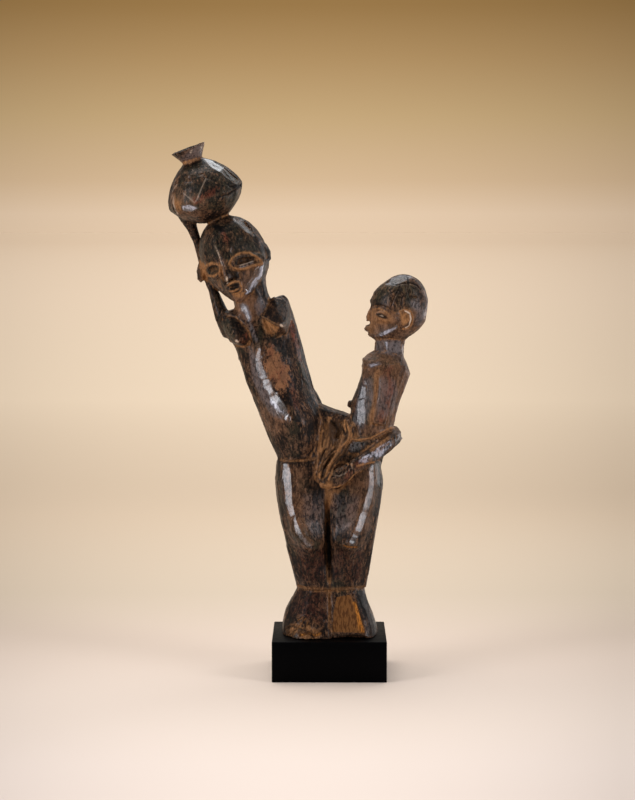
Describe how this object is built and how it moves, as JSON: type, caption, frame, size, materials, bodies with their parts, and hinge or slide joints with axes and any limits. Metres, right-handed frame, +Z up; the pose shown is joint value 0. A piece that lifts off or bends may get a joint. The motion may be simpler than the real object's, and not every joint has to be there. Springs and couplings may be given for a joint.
{
  "type": "carved maternity figure",
  "caption": "Carved wood woman with a pot on her head and a child growing from the same forked log, leaning on a plain black display block.",
  "frame": {"origin": "centre of the block's underside, on the floor", "axes": "+Z up, -Y the side that the mother faces, +X towards the child"},
  "size_m": [0.3192, 0.13, 0.6555],
  "materials": {
    "patinated_wood": "glossy dark patina over carved hardwood, ochre dust in the grooves, worn reddish patches",
    "black_lacquer": "satin black lacquer"
  },
  "bodies": {
    "root": {"maternity_figure": "patinated_wood", "mounting_block": "black_lacquer"}
  },
  "joints": []
}
